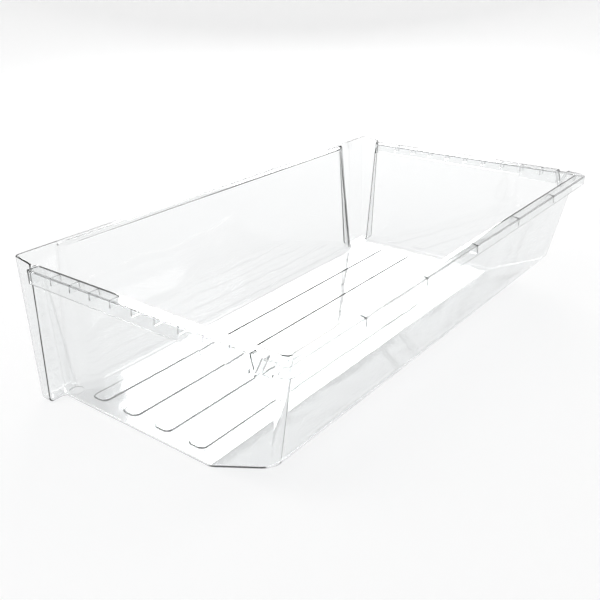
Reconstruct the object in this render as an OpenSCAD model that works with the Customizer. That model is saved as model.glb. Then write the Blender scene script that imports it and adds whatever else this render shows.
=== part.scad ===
// Clear freezer drawer: a one-piece injection moulded tub, open at the top.
// Frame: X runs along the drawer, -Y is the front, +Y the back, Z is up.
// The origin is the middle of the drawer's footprint, on its base.

/* [Overall] */
// Length of the rim, end to end
rim_len = 700; // [620:10:840]
// Depth from the front face to the edge of the back rim
drawer_depth = 385; // [320:5:470]
// Height of the front lip above the base
lip_h = 181; // [178:1:230]
// Height of the top face of the rim above the base
rim_h = 173.5; // [140:0.5:174]

/* [Walls] */
// Thickness of the walls
wall = 2.4; // [2:0.1:2.8]
// Thickness of the floor
floor_t = 2.5; // [2:0.1:3]
// Outside radius where the floor turns up into the walls
base_r = 7; // [5:0.5:8]
// Outside radius of the two back upright corners
corner_r = 8; // [6:0.5:16]
// How far each end wall leans in from the rim to the base
end_draft = 12.5; // [8:0.5:18]
// How far the back wall leans in from the rim to the top of the ramp
back_draft = 26.5; // [15:0.5:32]
// Length of the sloping ramp at the back of the floor
ramp_run = 93; // [60:1:110]
// Height that the ramp climbs
ramp_rise = 41; // [30:1:55]

/* [Front] */
// Depth of the side wings behind the front face, at the rim
wing_depth = 31.5; // [26:0.5:40]
// How much shallower the wings are at the base
wing_draft = 8; // [2:0.5:9]
// How far the wings stand out past the end walls
wing_out = 8; // [7.5:0.5:12]
// Outside radius of the wings' upright front edges
wing_r = 7; // [4:0.5:7]
// Distance of the recessed panel behind the front face, at its top
panel_set = 8; // [5:0.5:12]
// How far the panel leans in from its top to the base
panel_draft = 19; // [10:0.5:22]
// Height of the lip above the recessed panel
panel_top_gap = 6; // [4:0.5:12]
// Distance from the middle to the right end of the flat panel
panel_right = 262; // [180:1:275]
// Distance from the middle to the left end of the flat panel
panel_left = 247; // [180:1:275]
// Length of the curve that joins the panel to each wing, at the base
sweep_len = 38; // [30:1:45]

/* [Rim] */
// Width of the rim outside each end wall
end_rim_w = 13; // [11:0.5:16]
// Width of the rim outside the back wall
back_rim_w = 10; // [7:0.5:14]
// Thickness of the rim and its ribs
rim_t = 2.2; // [1.8:0.1:2.6]
// Outside radius of the rim's back corners
rim_r = 12; // [6:0.5:14]
// How far the rim dips at its back corners
corner_dip = 3; // [0:0.5:5]
// Depth of the skirt below the rim along the ends
skirt_d = 16.5; // [12:0.5:22]
// Depth of the skirt along the back
back_skirt_d = 12; // [8:0.5:18]
// Extra depth of the skirt next to the stops
skirt_step = 4.5; // [0:0.5:8]
// Length of the deeper stretch of skirt
skirt_step_len = 58; // [30:1:80]

/* [Ribs and stops] */
// Number of cross ribs under each end rim
end_ribs = 9; // [5:1:11]
// Distance between the cross ribs
end_rib_pitch = 31.25; // [24:0.25:32]
// Height of the cross ribs
end_rib_h = 9; // [6:0.5:14]
// Distance between the gussets under the back rim
back_rib_pitch = 114; // [90:1:130]
// Width of the V-shaped stops at the rim
stop_w = 18; // [14:0.5:22]
// Depth of the V-shaped stops
stop_d = 23; // [18:0.5:28]
// Reach of the stops from the skirt towards the end wall
stop_reach = 9; // [6:0.5:10]
// Distance of the stops from the back edge of the rim
stop_back = 35; // [30:0.5:60]

/* [Floor] */
// Number of raised pads
pads = 4; // [1:1:4]
// Distance between the pads
pad_pitch = 52.5; // [40:0.5:54]
// Width of a pad
pad_w = 26; // [14:0.5:30]
// Height of a pad above the floor
pad_h = 1.6; // [0.8:0.1:2]
// Length of a pad
pad_len = 606; // [400:2:610]
// Distance of the first pad's edge from the front face
pad_front = 48.5; // [46:0.5:60]
// Diameter of the shallow round marks near the corners of the floor
mark_d = 18; // [8:0.5:20]

/* [Hidden] */
clear_plastic = [0.9, 0.94, 0.95, 0.45];
eps = 0.01;
front_y = -drawer_depth/2;
back_y = drawer_depth/2;
end_x = rim_len/2 - end_rim_w;
wing_x = end_x + wing_out;
back_wall_y = back_y - back_rim_w;
wing_back_y = front_y + wing_depth;
// The wings keep almost no draft, so that a flat front plate sits on them
wing_face_draft = 2;
wing_end_draft = 1;
// Where the sloping ramp meets the flat floor, and where it meets the back wall
ramp_top_y = back_wall_y - back_draft;
ramp_foot_y = ramp_top_y - ramp_run;
// Half height of the soft bend between the ramp and the back wall
bend_h = 8;
// The curve beside the panel gets longer towards the base
sweep_draft = 12;
panel_h = lip_h - panel_top_gap;
// Height of the soft ledge at the top of the recessed panel
ledge_h = 4;
// Drop of the wings' tops from the front face to their backs
wing_top_drop = 3;
return_r = 4;
notch_r = 2.5;
least_r = 1;
floor_r = base_r - wall;
pad_r = 9;
pad_mid_x = 3;
mark_h = 0.5;
mark_inset_x = 17;
front_mark_y = front_y + 25;
back_mark_y = ramp_foot_y - 14;
gate_mark_y = front_y + 82;
rim_front_y = wing_back_y - 1;
skirt_low_y = back_y - 102;
stop_y = back_y - stop_back;
stop_wall = 2;
// How far the tip of a stop lies in front of its middle
stop_lean = -1.9;
rib_t = rim_t - 0.4;
pad_wall = wall - 1;
// Above this height the levels close up towards the top edge
squeeze_z = 110;
end_rib_y = rim_front_y + 39;

// Outer surface of the shell at height z

// Outer face of the end walls
function end_wall_x(z) = end_x - end_draft*(rim_h - z)/rim_h;

// Outer face of the wings' ends
function wing_end_x(z) = wing_x - wing_end_draft*(rim_h - z)/rim_h;

// Outer face of the wings' fronts
function wing_face_y(z) = front_y + wing_face_draft*(lip_h - z)/lip_h;

// Outer face of the wings' backs
function wing_return_y(z) = wing_back_y - wing_draft*(rim_h - z)/rim_h;

// Outer face of the recessed front panel, with the soft ledge above it
function panel_y(z) =
    z < panel_h ? front_y + panel_set + panel_draft*(panel_h - z)/panel_h
    : wing_face_y(z) + panel_set*max(0, 1 - (z - panel_h)/ledge_h);

// Length of the curve that joins the panel to a wing
function sweep(z) = sweep_len - sweep_draft*min(1, z/panel_h);

// Slopes of the ramp and of the back wall, as depth over height
ramp_slope = ramp_run/ramp_rise;
wall_slope = back_draft/(rim_h - ramp_rise);

// How far z is into the bend between the two
function bend(z) = min(2*bend_h, max(0, z - ramp_rise + bend_h));

// Slope of the back surface at height z
function back_slope(z) = ramp_slope + (wall_slope - ramp_slope)*bend(z)/(2*bend_h);

// Outer face of the ramp and the back wall
function back_face_y(z) =
    let (d = z - ramp_rise)
    d < bend_h ? ramp_top_y + ramp_slope*d + (wall_slope - ramp_slope)*pow(bend(z), 2)/(4*bend_h)
    : ramp_top_y + wall_slope*d;

// Points of an arc of n steps, from angle a to angle b
function arc(x, y, r, a, b, n) =
    [for (i = [0:n]) let (t = a + (b - a)*i/n) [x + r*cos(t), y + r*sin(t)]];

// Points of the curve from the panel, of length l and depth d, to the wing
function sweep_arc(x, y, l, d, n) =
    [for (i = [0:n]) let (t = 90*i/n) [x + l*sin(t), y + d*cos(t)]];

// Half of the shell's outline at height z, from the front round to the back.
// inset moves it in by the wall, fillet by the rounding at the base.
function half_outline(z, panel_end, inset, fillet) =
    let (
        o = inset + fillet,
        x_end = end_wall_x(z) - o,
        x_wing = wing_end_x(z) - o,
        y_face = wing_face_y(z) + o,
        y_return = wing_return_y(z) - o,
        y_back = back_face_y(z) - inset*sqrt(1 + pow(back_slope(z), 2)),
        r_face = max(wing_r - o, least_r),
        r_return = max(return_r - o, least_r),
        r_notch = notch_r + o,
        r_back = max(corner_r - o, least_r)
    )
    concat(
        sweep_arc(panel_end, y_face, sweep(z) + o, panel_y(z) - wing_face_y(z), 8),
        arc(x_wing - r_face, y_face + r_face, r_face, -90, 0, 5),
        arc(x_wing - r_return, y_return - r_return, r_return, 0, 90, 4),
        arc(x_end + r_notch, y_return + r_notch, r_notch, 270, 180, 4),
        arc(x_end - r_back, y_back - r_back, r_back, 0, 90, 5)
    );

// Mirrors a list of points to the other side, and keeps the way round
function mirrored(points) =
    [for (i = [len(points) - 1:-1:0]) [-points[i][0], points[i][1]]];

// Whole outline at height z
function outline(z, inset, fillet) = concat(
    half_outline(z, panel_right, inset, fillet),
    mirrored(half_outline(z, panel_left, inset, fillet))
);

// Height of the shell's top edge at depth y: the lip, the sloping wing tops, the rim
function top_z(y) = lookup(y, [
    [front_y + wing_r, lip_h],
    [rim_front_y - 3, lip_h - wing_top_drop],
    [rim_front_y + 3, rim_h]
]);

// Outline as points in space. Above squeeze_z the heights close up towards the
// top edge, so that the level lip_h runs along it.
function ring(z, inset, fillet) =
    let (flat = outline(z, inset, fillet), top = outline(lip_h, inset, fillet))
    [for (j = [0:len(flat) - 1])
        let (
            share = (top_z(top[j][1]) - squeeze_z)/(lip_h - squeeze_z),
            h = squeeze_z + (z - squeeze_z)*share,
            p = z > squeeze_z ? outline(h, inset, fillet)[j] : flat[j]
        )
        [p[0], p[1], z > squeeze_z ? h : z]];

// Twice the area of the triangle a, b, c, positive where it turns left
function turn(a, b, c) = (b[0] - a[0])*(c[1] - a[1]) - (b[1] - a[1])*(c[0] - a[0]);

// True where p lies in the triangle a, b, c or on its edge
function covers(a, b, c, p) = turn(a, b, p) >= 0 && turn(b, c, p) >= 0 && turn(c, a, p) >= 0;

// True where the corner b of a flat loop can be cut off as a triangle
function is_ear(points, loop, a, b, c) =
    turn(points[a], points[b], points[c]) > 0
    && len([
        for (k = loop)
        if (k != a && k != b && k != c && covers(points[a], points[b], points[c], points[k])) k
    ]) == 0;

// Cuts a flat loop of point numbers into triangles, one corner at a time
function ears(points, loop, i = 0, found = []) =
    let (n = len(loop), a = loop[(i + n - 1)%n], b = loop[i%n], c = loop[(i + 1)%n])
    n == 3 || i > 5000 ? concat(found, [loop])
    : is_ear(points, loop, a, b, c)
        ? ears(points, [for (k = loop) if (k != b) k], i + 1, concat(found, [[a, b, c]]))
    : ears(points, loop, i + 1, found);

// Skin over a list of rings of equal length, with the first and the last one closed
module skin(rings) {
    n = len(rings[0]);
    last = (len(rings) - 1)*n;
    loop = [for (j = [0:n - 1]) j];
    sides = [
        for (i = [0:len(rings) - 2], j = loop)
        let (a = i*n + j, b = i*n + (j + 1)%n)
        each [[a, b + n, b], [a, a + n, b + n]]
    ];
    first_cap = ears(rings[0], loop);
    last_cap = [for (t = ears(rings[len(rings) - 1], loop)) [last + t[2], last + t[1], last + t[0]]];
    polyhedron([for (points = rings) each points], concat(first_cap, sides, last_cap), convexity = 8);
}

// Levels of a rounding of radius r that starts at height z, as height and fillet
function rounding(z, r, n) =
    [for (i = [0:n]) let (t = 90*i/n) [z + r*(1 - cos(t)), r*(1 - sin(t))]];

// Heights of the walls above the rounding, up to the lip
wall_levels = concat(
    [for (i = [-2:2]) ramp_rise + bend_h*i/2],
    [squeeze_z, panel_h],
    [for (i = [1:4]) panel_h + ledge_h*i/4],
    [lip_h]
);

// The tub's floor and walls: up the outside, over the top edge, down the inside
module shell() {
    outside = concat(
        [for (level = rounding(0, base_r, 4)) ring(level[0], 0, level[1])],
        [for (z = wall_levels) ring(z, 0, 0)]
    );
    inside = concat(
        [for (level = rounding(floor_t, floor_r, 4)) ring(level[0], wall, level[1])],
        [for (z = wall_levels) ring(z, wall, 0)]
    );
    skin(concat(outside, [for (i = [len(inside) - 1:-1:0]) inside[i]]));
}

// Space within the middle of the walls, where the rim and its ribs end
module rim_opening() {
    skin([
        for (z = [squeeze_z, rim_h + 5])
        [for (p = outline(z, wall/2, 0)) [p[0], p[1], z]]
    ]);
}

// Plan of the rim, drawn in by inset
module rim_plan(inset) {
    half = rim_len/2 - inset;
    r = rim_r - inset;
    y0 = rim_front_y + inset;
    y1 = back_y - inset;
    translate([-half, y0])
        square([2*half, y1 - r - y0]);
    translate([-half + r, y0])
        square([2*(half - r), y1 - y0]);
    for (side = [-1, 1])
        translate([side*(half - r), y1 - r])
            circle(r = r, $fn = 48);
}

// Block that covers the rim's plan between two heights, for one stretch in Y
module rim_block(z0, z1, y0, y1, inset) {
    intersection() {
        translate([0, 0, z0])
            linear_extrude(height = z1 - z0)
                rim_plan(inset);
        translate([-rim_len, y0, z0 - 1])
            cube([2*rim_len, y1 - y0, z1 - z0 + 2]);
    }
}

// Solid outline of the rim and its skirt, before it is hollowed from below
module rim_outside() {
    rim_block(rim_h - back_skirt_d, rim_h, front_y, back_y, 0);
    rim_block(rim_h - skirt_d, rim_h, front_y, back_y - rim_r - 1, 0);
    rim_block(rim_h - skirt_d - skirt_step, rim_h, skirt_low_y, skirt_low_y + skirt_step_len, 0);
}

// Half space above a plane that dips towards one back corner, lowered by drop
module corner_plane(side, drop) {
    reach = 26;
    angle = atan(corner_dip/(reach/sqrt(2)));
    translate([side*(rim_len/2 - reach/2), back_y - reach/2, rim_h - drop])
        rotate([0, 0, 90 - side*45])
            rotate([0, angle, 0])
                translate([-10, -100, 0])
                    cube([100, 200, 60]);
}

// Rim with its skirt: open below, closed at both front ends
module rim() {
    difference() {
        rim_outside();
        difference() {
            rim_block(0, rim_h - rim_t, front_y, back_y, rim_t);
            for (side = [-1, 1])
                corner_plane(side, rim_t + corner_dip/2);
        }
        for (side = [-1, 1])
            corner_plane(side, corner_dip/2);
    }
}

// Cross ribs between the end walls and the skirt
module end_rib_row() {
    for (side = [-1, 1], i = [0:end_ribs - 1])
        translate([side*(end_x + end_rim_w/2 - 2), end_rib_y + i*end_rib_pitch, rim_h - end_rib_h/2 - eps])
            cube([end_rim_w + 2, rib_t, end_rib_h], center = true);
}

// Gussets between the back wall and the skirt
module back_gussets() {
    for (i = [-2:2])
        translate([6 + i*back_rib_pitch, back_wall_y + back_rim_w/2 - 4, rim_h - back_skirt_d/2 - eps])
            cube([rib_t, back_rim_w + 6, back_skirt_d - 1], center = true);
}

// Diagonal gusset in each back corner of the rim
module corner_gussets() {
    for (side = [-1, 1])
        translate([side*(end_x - 1), back_wall_y - 1, rim_h - corner_dip - 6])
            rotate([0, 0, side*45])
                translate([side*5, 0, 0])
                    cube([14, rib_t, 8], center = true);
}

// Outline of a stop seen from the end, drawn in by inset and raised by over
module stop_outline(inset, over) {
    half = stop_w/2 - 1.1*inset;
    low = 2.5*inset - stop_d;
    tip = 1.2 - 0.35*inset;
    polygon([
        [-half, over], [half, over], [half, 0],
        [stop_lean + tip, low + 1.5], [stop_lean, low], [stop_lean - tip, low + 1.5], [-half, 0]
    ]);
}

// Extrudes a stop outline across the rim on one side, from past its edge inwards
module stop_prism(side, inset, reach, past) {
    translate([side*(rim_len/2 + past), stop_y, rim_h])
        rotate([90, 0, 90])
            mirror([0, 0, side > 0 ? 1 : 0])
                linear_extrude(height = reach + past)
                    stop_outline(inset, past);
}

// V-shaped stops at both ends
module stops() {
    for (side = [-1, 1])
        stop_prism(side, 0, stop_reach + stop_wall, 0);
}

// Pockets in the stops, open upwards and outwards
module stop_pockets() {
    for (side = [-1, 1])
        stop_prism(side, stop_wall, stop_reach, 1);
}

// Plan of one raised pad, drawn in by inset
module pad_plan(inset) {
    x = pad_len/2 - inset;
    y = pad_w/2 - inset;
    r = pad_r - inset;
    square([2*(x - r), 2*y], center = true);
    square([2*x, 2*(y - r)], center = true);
    for (sx = [-1, 1], sy = [-1, 1])
        translate([sx*(x - r), sy*(y - r)])
            circle(r = r, $fn = 40);
}

// One prism for each pad
module pad_prisms(z, h, inset) {
    for (i = [0:pads - 1])
        translate([pad_mid_x, front_y + pad_front + pad_w/2 + i*pad_pitch, z])
            linear_extrude(height = h)
                pad_plan(inset);
}

// Shallow round marks in the floor
module floor_marks() {
    x = end_wall_x(0) - mark_inset_x;
    for (side = [-1, 1], y = [front_mark_y, back_mark_y])
        translate([side*x, y, floor_t - mark_h])
            cylinder(d = mark_d, h = mark_h + 1, $fn = 48);
    translate([pad_mid_x, gate_mark_y, floor_t - mark_h])
        cylinder(d = mark_d, h = mark_h + 1, $fn = 48);
}

// Rim with its skirt, ribs and stops, from the middle of the walls outwards
module rim_parts() {
    difference() {
        union() {
            rim();
            end_rib_row();
            back_gussets();
            corner_gussets();
            stops();
        }
        stop_pockets();
        rim_opening();
    }
}

// The tub: one moulding
module drawer_tub() {
    color(clear_plastic)
    difference() {
        union() {
            shell();
            rim_parts();
            pad_prisms(floor_t - 1, pad_h + 1, 0);
        }
        pad_prisms(-1, 1 + pad_h, pad_wall);
        floor_marks();
    }
}

drawer_tub();
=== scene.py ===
"""Clear freezer drawer: a one-piece moulded tub, shown on a plain white table."""
import math

import bmesh
import bpy
import numpy as np
from mathutils import Matrix, Vector


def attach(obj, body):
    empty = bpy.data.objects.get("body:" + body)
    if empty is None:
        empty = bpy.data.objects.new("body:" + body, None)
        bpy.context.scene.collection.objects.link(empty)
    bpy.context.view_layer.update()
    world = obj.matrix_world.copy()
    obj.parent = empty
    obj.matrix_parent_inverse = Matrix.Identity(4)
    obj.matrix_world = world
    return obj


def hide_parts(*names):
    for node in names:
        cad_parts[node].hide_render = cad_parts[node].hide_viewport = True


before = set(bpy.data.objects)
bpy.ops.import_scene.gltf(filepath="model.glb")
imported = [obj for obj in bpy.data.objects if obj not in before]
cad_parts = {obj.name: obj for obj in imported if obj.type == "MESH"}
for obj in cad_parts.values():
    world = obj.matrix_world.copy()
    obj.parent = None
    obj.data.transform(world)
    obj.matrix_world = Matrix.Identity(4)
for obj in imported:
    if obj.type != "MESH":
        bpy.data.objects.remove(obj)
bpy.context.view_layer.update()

MM = 0.001

# ---------------------------------------------------------------- camera
# Fitted to the photograph, in millimetres of the drawer's frame.
CAM_PLACE = (769.41, 533.38, 482.34)
CAM_YAW, CAM_PITCH, CAM_ROLL = 128.02, 24.75, -0.99
CAM_FOCAL, CAM_SENSOR = 46.277, 36.0

# ---------------------------------------------------------------- sizes, mm
RIM_LEN, DEPTH, LIP_H, RIM_H = 700.0, 385.0, 181.0, 173.5
WALL, FLOOR_T, BASE_R, CORNER_R = 2.4, 2.5, 7.0, 8.0
END_DRAFT, BACK_DRAFT, RAMP_RUN, RAMP_RISE = 12.5, 26.5, 93.0, 41.0
WING_DEPTH, WING_DRAFT, WING_OUT, WING_R = 31.5, 8.0, 8.0, 7.0
PANEL_SET, PANEL_DRAFT, PANEL_TOP_GAP = 8.0, 19.0, 6.0
PANEL_RIGHT, PANEL_LEFT, SWEEP_LEN, SWEEP_DRAFT = 262.0, 247.0, 38.0, 12.0
END_RIM_W, BACK_RIM_W, RIM_T, RIM_R, CORNER_DIP = 13.0, 10.0, 2.2, 12.0, 3.0
SKIRT_D, BACK_SKIRT_D, SKIRT_STEP, SKIRT_STEP_LEN = 16.5, 12.0, 4.5, 58.0
END_RIBS, END_RIB_PITCH, END_RIB_H, BACK_RIB_PITCH = 9, 31.25, 9.0, 114.0
STOP_W, STOP_D, STOP_REACH, STOP_BACK, STOP_WALL, STOP_LEAN = 18.0, 23.0, 9.0, 35.0, 2.0, -1.9
PADS, PAD_PITCH, PAD_W, PAD_H, PAD_LEN, PAD_FRONT = 4, 52.5, 26.0, 1.6, 606.0, 48.5
PAD_R, PAD_MID_X, MARK_D, MARK_H = 9.0, 3.0, 18.0, 0.5
LEDGE_H, RETURN_R, NOTCH_R, LEAST_R, BEND_H = 4.0, 4.0, 2.5, 1.0, 8.0
WING_FACE_DRAFT, WING_END_DRAFT, WING_TOP_DROP = 2.0, 1.0, 3.0
RIB_T = RIM_T - 0.4
EDGE_R = 0.55

FRONT_Y, BACK_Y = -DEPTH/2, DEPTH/2
END_X = RIM_LEN/2 - END_RIM_W
WING_X = END_X + WING_OUT
BACK_WALL_Y = BACK_Y - BACK_RIM_W
WING_BACK_Y = FRONT_Y + WING_DEPTH
RAMP_TOP_Y = BACK_WALL_Y - BACK_DRAFT
RAMP_FOOT_Y = RAMP_TOP_Y - RAMP_RUN
PANEL_H = LIP_H - PANEL_TOP_GAP
RIM_FRONT_Y = WING_BACK_Y - 1
SKIRT_LOW_Y = BACK_Y - 102
STOP_Y = BACK_Y - STOP_BACK
END_RIB_Y = RIM_FRONT_Y + 39
RAMP_SLOPE = RAMP_RUN/RAMP_RISE
WALL_SLOPE = BACK_DRAFT/(RIM_H - RAMP_RISE)


# ---------------------------------------------------------------- outlines
def end_wall_x(z):
    return END_X - END_DRAFT*(RIM_H - z)/RIM_H


def wing_end_x(z):
    return WING_X - WING_END_DRAFT*(RIM_H - z)/RIM_H


def wing_face_y(z):
    return FRONT_Y + WING_FACE_DRAFT*(LIP_H - z)/LIP_H


def wing_return_y(z):
    return WING_BACK_Y - WING_DRAFT*(RIM_H - z)/RIM_H


def smooth(t):
    t = np.clip(t, 0, 1)
    return t*t*(3 - 2*t)


def panel_y(z):
    low = FRONT_Y + PANEL_SET + PANEL_DRAFT*(PANEL_H - z)/PANEL_H
    high = wing_face_y(z) + PANEL_SET*(1 - smooth((z - PANEL_H)/LEDGE_H))
    return np.where(z < PANEL_H, low, high)


def sweep(z):
    return SWEEP_LEN - SWEEP_DRAFT*np.minimum(1, z/PANEL_H)


def back_slope(z):
    bend = np.clip(z - RAMP_RISE + BEND_H, 0, 2*BEND_H)
    return RAMP_SLOPE + (WALL_SLOPE - RAMP_SLOPE)*bend/(2*BEND_H)


def back_face_y(z):
    d = z - RAMP_RISE
    bend = np.clip(d + BEND_H, 0, 2*BEND_H)
    low = RAMP_TOP_Y + RAMP_SLOPE*d + (WALL_SLOPE - RAMP_SLOPE)*bend**2/(4*BEND_H)
    return np.where(d < BEND_H, low, RAMP_TOP_Y + WALL_SLOPE*d)


# The stretches of half an outline: kind and number of steps
STRETCHES = (("sweep", 20), ("face", 10), ("return", 8), ("notch", 8), ("back", 12))
KIND = np.concatenate([[k]*(n + 1) for k, (_, n) in enumerate(STRETCHES)])
STEP = np.concatenate([np.linspace(0, 1, n + 1) for _, n in STRETCHES])
HALF = len(KIND)


def half_outline(z, panel_end, inset, fillet):
    """Half of the shell's outline, with a height and an inset of its own for each point."""
    o = inset + fillet
    x_end = end_wall_x(z) - o
    x_wing = wing_end_x(z) - o
    y_face = wing_face_y(z) + o
    y_return = wing_return_y(z) - o
    y_back = back_face_y(z) - inset*np.sqrt(1 + back_slope(z)**2)
    r_face = np.maximum(WING_R - o, LEAST_R)
    r_return = np.maximum(RETURN_R - o, LEAST_R)
    r_notch = NOTCH_R + o
    r_back = np.maximum(CORNER_R - o, LEAST_R)
    sw = sweep(z) + o
    depth = panel_y(z) - wing_face_y(z)
    a = np.radians(90*STEP)
    x = np.select(
        [KIND == 0, KIND == 1, KIND == 2, KIND == 3, KIND == 4],
        [panel_end + sw*np.sin(a),
         x_wing - r_face + r_face*np.sin(a),
         x_wing - r_return + r_return*np.cos(a),
         x_end + r_notch - r_notch*np.sin(a),
         x_end - r_back + r_back*np.cos(a)])
    y = np.select(
        [KIND == 0, KIND == 1, KIND == 2, KIND == 3, KIND == 4],
        [y_face + depth*np.cos(a),
         y_face + r_face - r_face*np.cos(a),
         y_return - r_return + r_return*np.sin(a),
         y_return + r_notch - r_notch*np.cos(a),
         y_back - r_back + r_back*np.sin(a)])
    return np.stack([x, y, z], 1)


def outline(z, inset=0.0, fillet=0.0):
    z = np.broadcast_to(np.asarray(z, float), (2*HALF,))
    right = half_outline(z[:HALF], PANEL_RIGHT, inset, fillet)
    left = half_outline(z[HALF:][::-1], PANEL_LEFT, inset, fillet)[::-1]
    left[:, 0] *= -1
    return np.concatenate([right, left])


def top_z(y):
    return np.interp(y, [FRONT_Y + WING_R, RIM_FRONT_Y - 3, RIM_FRONT_Y + 3],
                     [LIP_H, LIP_H - WING_TOP_DROP, RIM_H])


SQUEEZE_Z = 110.0
TOPS = top_z(outline(LIP_H)[:, 1])


def ring(z, inset=0.0, fillet=0.0, below_top=None):
    """One ring of the shell. Above SQUEEZE_Z the heights close up towards the top edge."""
    if below_top is not None:
        zz = TOPS - below_top
    elif z > SQUEEZE_Z:
        zz = SQUEEZE_Z + (z - SQUEEZE_Z)*(TOPS - EDGE_R - SQUEEZE_Z)/(LIP_H - EDGE_R - SQUEEZE_Z)
    else:
        zz = z
    return outline(zz, inset, fillet)


# ---------------------------------------------------------------- mesh tools
def new_object(name, verts, faces):
    me = bpy.data.meshes.new(name)
    me.from_pydata([tuple(float(c)*MM for c in v) for v in verts], [], faces)
    me.validate()
    ob = bpy.data.objects.new(name, me)
    bpy.context.scene.collection.objects.link(ob)
    return ob


def skin(name, rings):
    """Closed mesh over rings of equal length, all the same way round."""
    n = len(rings[0])
    verts = [p for r in rings for p in r]
    faces = []
    for i in range(len(rings) - 1):
        for j in range(n):
            a, b = i*n + j, i*n + (j + 1) % n
            faces.append((a, b, b + n, a + n))
    faces.append(tuple(reversed(range(n))))
    last = (len(rings) - 1)*n
    faces.append(tuple(last + j for j in range(n)))
    ob = new_object(name, verts, faces)
    outward(ob)
    return ob


def outward(ob):
    bm = bmesh.new()
    bm.from_mesh(ob.data)
    bmesh.ops.recalc_face_normals(bm, faces=bm.faces)
    bm.to_mesh(ob.data)
    bm.free()


def joined(name, parts):
    """One mesh object out of several that don't touch."""
    bm = bmesh.new()
    for p in parts:
        bm.from_mesh(p.data)
        bpy.data.objects.remove(p)
    me = bpy.data.meshes.new(name)
    bm.to_mesh(me)
    bm.free()
    ob = bpy.data.objects.new(name, me)
    bpy.context.scene.collection.objects.link(ob)
    return ob


def combine(ob, other, how):
    mod = ob.modifiers.new("cut", "BOOLEAN")
    mod.operation = how
    mod.solver = "MANIFOLD"
    mod.object = other
    deps = bpy.context.evaluated_depsgraph_get()
    me = bpy.data.meshes.new_from_object(ob.evaluated_get(deps))
    ob.modifiers.clear()
    ob.data = me
    bpy.data.objects.remove(other)


def box(name, lo, hi):
    x0, y0, z0 = lo
    x1, y1, z1 = hi
    return skin(name, [[(x0, y0, z), (x1, y0, z), (x1, y1, z), (x0, y1, z)] for z in (z0, z1)])


# ---------------------------------------------------------------- shell
def rounding(z, r, n):
    return [(z + r*(1 - math.cos(t)), r*(1 - math.sin(t)))
            for t in (math.pi/2*i/n for i in range(n + 1))]


def make_shell():
    heights = [20.0] + [RAMP_RISE + BEND_H*i/6 for i in range(-6, 7)] + [SQUEEZE_Z, 150.0, PANEL_H]
    heights += [PANEL_H + LEDGE_H*i/8 for i in range(1, 9)]
    outside = [ring(z, 0.0, f) for z, f in rounding(0.0, BASE_R, 8)]
    outside += [ring(z) for z in heights]
    inside = [ring(z, WALL, f) for z, f in rounding(FLOOR_T, BASE_R - WALL, 8)]
    inside += [ring(z, WALL) for z in heights]
    edge = []
    for i in range(5):
        t = math.pi/2*i/4
        edge.append(ring(0, EDGE_R*(1 - math.cos(t)), 0.0, EDGE_R*(1 - math.sin(t))))
    for i in range(4, -1, -1):
        t = math.pi/2*i/4
        edge.append(ring(0, WALL - EDGE_R*(1 - math.cos(t)), 0.0, EDGE_R*(1 - math.sin(t))))
    return skin("drawer", outside + edge + inside[::-1])


# ---------------------------------------------------------------- rim
def dip(x, y):
    """How far the rim's top lies below its level at the two back corners."""
    reach = 26.0
    d = (abs(x) - (RIM_LEN/2 - reach/2) + y - (BACK_Y - reach/2))/math.sqrt(2)
    return corner_slope*max(0.0, d)


corner_slope = CORNER_DIP/(26.0/math.sqrt(2))


def rim_stations():
    """Outer point, outward direction, inner point and skirt depth along the rim, on the right half."""
    half, mid = RIM_LEN/2, WALL/2
    rows = []
    ys = [(RIM_FRONT_Y, SKIRT_D), (SKIRT_LOW_Y, SKIRT_D), (SKIRT_LOW_Y + 0.3, SKIRT_D + SKIRT_STEP),
          (SKIRT_LOW_Y + SKIRT_STEP_LEN, SKIRT_D + SKIRT_STEP),
          (SKIRT_LOW_Y + SKIRT_STEP_LEN + 0.3, SKIRT_D), (BACK_Y - RIM_R - 6, SKIRT_D),
          (BACK_Y - RIM_R - 5.7, BACK_SKIRT_D)]
    for y, d in ys:
        rows.append(((half, y), (1, 0), (END_X - mid, min(y, BACK_WALL_Y - CORNER_R)), d))
    n = 14
    for i in range(n + 1):
        a = math.pi/2*i/n
        c, s = math.cos(a), math.sin(a)
        r_in = CORNER_R - mid
        rows.append(((half - RIM_R + RIM_R*c, BACK_Y - RIM_R + RIM_R*s), (c, s),
                     (END_X - CORNER_R + r_in*c, BACK_WALL_Y - CORNER_R + r_in*s - 0.1*s), BACK_SKIRT_D))
    return rows


def rim_section(outer, out, inner, depth):
    """Closed section of the rim: plate and skirt, with rounded outer edges."""
    (ox, oy), (nx, ny), (ix, iy) = outer, out, inner
    pts = []

    def put(u, z, share=None):
        # u is the distance inwards from the outer face
        if share is None:
            x, y = ox - nx*u, oy - ny*u
        else:
            x, y = ox + (ix - ox)*share, oy + (iy - oy)*share
        pts.append((x, y, z - dip(x, y)))

    for share in (1.0, 0.7, 0.4):
        put(0, RIM_H, share)
    r = 0.9
    for i in range(6):
        t = math.pi/2*i/5
        put(r*(1 - math.sin(t)), RIM_H - r*(1 - math.cos(t)))
    low = RIM_H - depth
    r = 0.5
    for i in range(4):
        t = math.pi/2*i/3
        put(r*(1 - math.cos(t)), low + r*(1 - math.sin(t)))
    for i in range(4):
        t = math.pi/2*i/3
        put(RIM_T - r*(1 - math.sin(t)), low + r*(1 - math.cos(t)))
    r = 0.6
    for i in range(4):
        t = math.pi/2*i/3
        put(RIM_T + r*(1 - math.cos(t)), RIM_H - RIM_T - r*(1 - math.sin(t)))
    for share in (0.4, 0.7, 1.0):
        put(0, RIM_H - RIM_T, share)
    return pts


def make_rim():
    right = [rim_section(*row) for row in rim_stations()]
    left = [[(-x, y, z) for x, y, z in s] for s in reversed(right)]
    return skin("rim", right + left)


def hexahedron(name, low, high):
    """Closed prism between two rings of four points."""
    return skin(name, [low, high])


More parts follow.
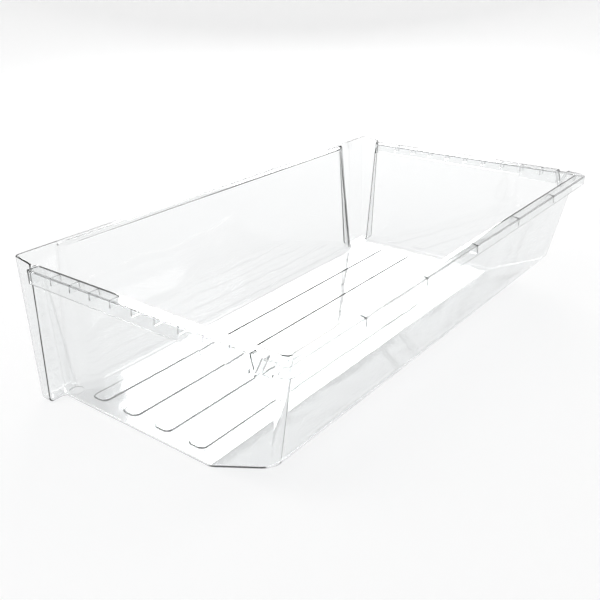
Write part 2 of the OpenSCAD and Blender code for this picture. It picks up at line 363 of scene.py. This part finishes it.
def make_ribs():
    parts = []
    z1 = RIM_H - 0.3
    for side in (-1, 1):
        for i in range(END_RIBS):
            y = END_RIB_Y + i*END_RIB_PITCH
            parts.append(box("rib", (min(side*(END_X - 1.6), side*(RIM_LEN/2 - 1)), y - RIB_T/2, z1 - END_RIB_H),
                             (max(side*(END_X - 1.6), side*(RIM_LEN/2 - 1)), y + RIB_T/2, z1)))
        # closes the front end of the rim
        x0, x1 = sorted((side*(END_X - 1.2), side*(RIM_LEN/2 - 0.8)))
        parts.append(box("rib", (x0, RIM_FRONT_Y + 0.05, RIM_H - SKIRT_D + 0.4), (x1, RIM_FRONT_Y + RIM_T, z1)))
        # diagonal gusset in the corner
        c = Vector((side*(END_X - 1 + 5*0.707), BACK_WALL_Y - 1 + 5*0.707))
        u = Vector((side*0.7071, 0.7071))
        v = Vector((-u.y, u.x))
        zc0, zc1 = RIM_H - CORNER_DIP - 10, RIM_H - CORNER_DIP - 1
        plan = [c + u*sx*7 + v*sy*RIB_T/2 for sx, sy in ((-1, -1), (1, -1), (1, 1), (-1, 1))]
        parts.append(hexahedron("rib", [(p.x, p.y, zc0) for p in plan], [(p.x, p.y, zc1) for p in plan]))
    for i in range(-2, 3):
        x = 6 + i*BACK_RIB_PITCH
        z0 = RIM_H - BACK_SKIRT_D + 0.5
        y1 = BACK_Y - 1
        y_top, y_low = BACK_WALL_Y - 1.3, BACK_WALL_Y - 1.3 - WALL_SLOPE*(z1 - z0)
        low = [(x - RIB_T/2, y_low, z0), (x + RIB_T/2, y_low, z0), (x + RIB_T/2, y1, z0), (x - RIB_T/2, y1, z0)]
        high = [(x - RIB_T/2, y_top, z1), (x + RIB_T/2, y_top, z1), (x + RIB_T/2, y1, z1), (x - RIB_T/2, y1, z1)]
        parts.append(hexahedron("rib", low, high))
    return joined("ribs", parts)


def stop_outline(inset, over):
    half = STOP_W/2 - 1.1*inset
    low = 2.5*inset - STOP_D
    tip = 1.2 - 0.35*inset
    pts = [(half, over), (STOP_LEAN + tip, low + 1.5), (STOP_LEAN, low), (STOP_LEAN - tip, low + 1.5), (-half, over)]
    return [(STOP_Y + a, RIM_H + b) for a, b in pts]


def stop_prism(side, inset, reach, past, over):
    xa, xb = side*(RIM_LEN/2 + past), side*(RIM_LEN/2 - reach)
    plan = stop_outline(inset, over)
    return skin("stop", [[(x, y, z) for y, z in plan] for x in sorted((xa, xb))])


# ---------------------------------------------------------------- floor
def pad_ring(i, inset, z):
    x1, y1 = PAD_LEN/2 - inset, PAD_W/2 - inset
    r = max(PAD_R - inset, 0.8)
    cy = FRONT_Y + PAD_FRONT + PAD_W/2 + i*PAD_PITCH
    pts = []
    for sx, sy, a0 in ((1, -1, -90), (1, 1, 0), (-1, 1, 90), (-1, -1, 180)):
        for k in range(9):
            t = math.radians(a0 + 90*k/8)
            pts.append((PAD_MID_X + sx*(x1 - r) + r*math.cos(t), cy + sy*(y1 - r) + r*math.sin(t), z))
    return pts


def make_pads():
    parts = []
    for i in range(PADS):
        levels = [(0.0, FLOOR_T - 1.0)] + [(0.0, FLOOR_T + 0.2)]
        r = 0.8
        levels += [(0.3 + r*(1 - math.cos(t)), FLOOR_T + PAD_H - r*(1 - math.sin(t)))
                   for t in (math.pi/2*k/4 for k in range(5))]
        parts.append(skin("pad", [pad_ring(i, a, z) for a, z in levels]))
    return joined("pads", parts)


def make_hollows():
    parts = []
    for i in range(PADS):
        r = 0.6
        levels = [(WALL - 1, -1.0), (WALL - 1, PAD_H - r)]
        levels += [(WALL - 1 + r*(1 - math.cos(t)), PAD_H - r*(1 - math.sin(t)))
                   for t in (math.pi/2*k/3 for k in range(1, 4))]
        parts.append(skin("hollow", [pad_ring(i, a, z) for a, z in levels]))
    x = end_wall_x(0) - 17
    for cx, cy in ((x, FRONT_Y + 25), (-x, FRONT_Y + 25), (x, RAMP_FOOT_Y - 14), (-x, RAMP_FOOT_Y - 14),
                   (PAD_MID_X, FRONT_Y + 82)):
        circle = [(cx + MARK_D/2*math.cos(t), cy + MARK_D/2*math.sin(t))
                  for t in (2*math.pi*k/48 for k in range(48))]
        parts.append(skin("mark", [[(a, b, z) for a, b in circle] for z in (FLOOR_T - MARK_H, FLOOR_T + 1)]))
    return joined("hollows", parts)


def make_drawer():
    drawer = make_shell()
    combine(drawer, make_rim(), "UNION")
    combine(drawer, make_ribs(), "UNION")
    combine(drawer, joined("stops", [stop_prism(s, 0, STOP_REACH + STOP_WALL, 0, -0.05) for s in (-1, 1)]), "UNION")
    combine(drawer, joined("pockets", [stop_prism(s, STOP_WALL, STOP_REACH, 1, 1) for s in (-1, 1)]), "DIFFERENCE")
    combine(drawer, make_pads(), "UNION")
    combine(drawer, make_hollows(), "DIFFERENCE")
    me = drawer.data
    for p in me.polygons:
        p.use_smooth = True
    me.set_sharp_from_angle(angle=math.radians(32))
    wn = drawer.modifiers.new("normals", "WEIGHTED_NORMAL")
    wn.keep_sharp = True
    return drawer


# ---------------------------------------------------------------- materials
def clear_plastic():
    mat = bpy.data.materials.new("clear_plastic")
    mat.use_nodes = True
    nt = mat.node_tree
    nt.nodes.clear()
    out = nt.nodes.new("ShaderNodeOutputMaterial")
    bsdf = nt.nodes.new("ShaderNodeBsdfPrincipled")
    bsdf.inputs["Base Color"].default_value = (0.99, 0.995, 0.995, 1)
    bsdf.inputs["Transmission Weight"].default_value = 1.0
    bsdf.inputs["IOR"].default_value = 1.57
    coord = nt.nodes.new("ShaderNodeTexCoord")
    noise = nt.nodes.new("ShaderNodeTexNoise")
    noise.inputs["Scale"].default_value = 9.0
    noise.inputs["Detail"].default_value = 2.0
    nt.links.new(coord.outputs["Object"], noise.inputs["Vector"])
    ramp = nt.nodes.new("ShaderNodeMapRange")
    ramp.inputs["To Min"].default_value = 0.0
    ramp.inputs["To Max"].default_value = 0.06
    nt.links.new(noise.outputs["Fac"], ramp.inputs["Value"])
    nt.links.new(ramp.outputs["Result"], bsdf.inputs["Roughness"])
    bump = nt.nodes.new("ShaderNodeBump")
    bump.inputs["Strength"].default_value = 0.25
    bump.inputs["Distance"].default_value = 0.004
    nt.links.new(noise.outputs["Fac"], bump.inputs["Height"])
    nt.links.new(bump.outputs["Normal"], bsdf.inputs["Normal"])
    path = nt.nodes.new("ShaderNodeLightPath")
    either = nt.nodes.new("ShaderNodeMath")
    either.operation = "MAXIMUM"
    nt.links.new(path.outputs["Is Shadow Ray"], either.inputs[0])
    nt.links.new(path.outputs["Is Diffuse Ray"], either.inputs[1])
    clear = nt.nodes.new("ShaderNodeBsdfTransparent")
    clear.inputs["Color"].default_value = (0.94, 0.945, 0.95, 1)
    mix = nt.nodes.new("ShaderNodeMixShader")
    nt.links.new(either.outputs[0], mix.inputs["Fac"])
    nt.links.new(bsdf.outputs[0], mix.inputs[1])
    nt.links.new(clear.outputs[0], mix.inputs[2])
    nt.links.new(mix.outputs[0], out.inputs["Surface"])
    absorb = nt.nodes.new("ShaderNodeVolumeAbsorption")
    absorb.inputs["Color"].default_value = (0.75, 0.76, 0.765, 1)
    absorb.inputs["Density"].default_value = 90.0
    nt.links.new(absorb.outputs[0], out.inputs["Volume"])
    return mat


def white_sweep():
    """White table and backdrop. What the camera sees is close to white, and keeps a soft shadow."""
    mat = bpy.data.materials.new("white_sweep")
    mat.use_nodes = True
    nt = mat.node_tree
    nt.nodes.clear()
    out = nt.nodes.new("ShaderNodeOutputMaterial")
    diff = nt.nodes.new("ShaderNodeBsdfDiffuse")
    diff.inputs["Color"].default_value = (0.9, 0.9, 0.9, 1)
    glow = nt.nodes.new("ShaderNodeEmission")
    glow.inputs["Strength"].default_value = 1.0
    path = nt.nodes.new("ShaderNodeLightPath")
    a = nt.nodes.new("ShaderNodeMath")
    a.operation = "ADD"
    b = nt.nodes.new("ShaderNodeMath")
    b.operation = "ADD"
    b.use_clamp = True
    nt.links.new(path.outputs["Is Camera Ray"], a.inputs[0])
    nt.links.new(path.outputs["Is Glossy Ray"], a.inputs[1])
    nt.links.new(a.outputs[0], b.inputs[0])
    nt.links.new(path.outputs["Is Transmission Ray"], b.inputs[1])
    share = nt.nodes.new("ShaderNodeMath")
    share.operation = "MULTIPLY"
    share.inputs[1].default_value = 0.7
    nt.links.new(b.outputs[0], share.inputs[0])
    mix = nt.nodes.new("ShaderNodeMixShader")
    nt.links.new(share.outputs[0], mix.inputs["Fac"])
    nt.links.new(diff.outputs[0], mix.inputs[1])
    nt.links.new(glow.outputs[0], mix.inputs[2])
    nt.links.new(mix.outputs[0], out.inputs["Surface"])
    return mat


# ---------------------------------------------------------------- stage
def make_sweep():
    """Round white bowl: a flat table that curves up into a wall all round."""
    r_flat, r_bend, height = 2.6, 0.8, 2.0
    profile = [(0.0, 0.0), (r_flat, 0.0)]
    profile += [(r_flat + r_bend*math.sin(t), r_bend*(1 - math.cos(t)))
                for t in (math.pi/2*i/16 for i in range(1, 17))]
    profile.append((r_flat + r_bend, height))
    n = 96
    verts, faces = [(0, 0, 0)], []
    for r, z in profile[1:]:
        verts += [(r*math.cos(2*math.pi*k/n), r*math.sin(2*math.pi*k/n), z) for k in range(n)]
    for k in range(n):
        faces.append((0, 1 + k, 1 + (k + 1) % n))
    for i in range(len(profile) - 2):
        for k in range(n):
            a, b = 1 + i*n + k, 1 + i*n + (k + 1) % n
            faces.append((a, a + n, b + n, b))
    me = bpy.data.meshes.new("sweep")
    me.from_pydata(verts, [], faces)
    for p in me.polygons:
        p.use_smooth = True
    ob = bpy.data.objects.new("sweep", me)
    bpy.context.scene.collection.objects.link(ob)
    ob.location.z = -0.0005
    ob.data.materials.append(white_sweep())
    return ob


def softbox(name, place, aim, size, power):
    data = bpy.data.lights.new(name, "AREA")
    data.shape = "RECTANGLE"
    data.size, data.size_y = size
    data.energy = power
    ob = bpy.data.objects.new(name, data)
    ob.location = place
    ob.rotation_euler = (Vector(aim) - Vector(place)).to_track_quat("-Z", "Y").to_euler()
    bpy.context.scene.collection.objects.link(ob)
    return ob


def set_world(level):
    world = bpy.data.worlds.new("room")
    bpy.context.scene.world = world
    world.use_nodes = True
    world.node_tree.nodes["Background"].inputs["Color"].default_value = (level, level, level, 1)
    world.node_tree.nodes["Background"].inputs["Strength"].default_value = 1.0


def make_camera():
    a, e, r = (math.radians(v) for v in (CAM_YAW, CAM_PITCH, CAM_ROLL))
    fwd = Vector((-math.sin(a)*math.cos(e), math.cos(a)*math.cos(e), -math.sin(e)))
    right = fwd.cross(Vector((0, 0, 1))).normalized()
    up = right.cross(fwd)
    rr = math.cos(r)*right + math.sin(r)*up
    uu = -math.sin(r)*right + math.cos(r)*up
    data = bpy.data.cameras.new("camera")
    data.lens, data.sensor_width = CAM_FOCAL, CAM_SENSOR
    data.clip_start, data.clip_end = 0.05, 50
    cam = bpy.data.objects.new("camera", data)
    rot = Matrix((rr, uu, -fwd)).transposed().to_4x4()
    cam.matrix_world = Matrix.Translation(Vector(CAM_PLACE)*MM) @ rot
    bpy.context.scene.collection.objects.link(cam)
    bpy.context.scene.camera = cam


make_camera()
drawer = make_drawer()
drawer.data.materials.clear()
drawer.data.materials.append(clear_plastic())
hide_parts("drawer_tub")
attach(drawer, "root")

make_sweep()
softbox("key", (1.6, -0.6, 2.3), (0, 0, 0.1), (1.6, 1.6), 40)
softbox("fill", (-1.5, 1.6, 2.2), (0, 0, 0.1), (1.4, 1.4), 25)
softbox("back", (-1.9, -1.5, 1.3), (0, 0, 0.1), (1.8, 1.2), 60)
set_world(0.08)
bpy.context.scene.view_settings.view_transform = "Standard"
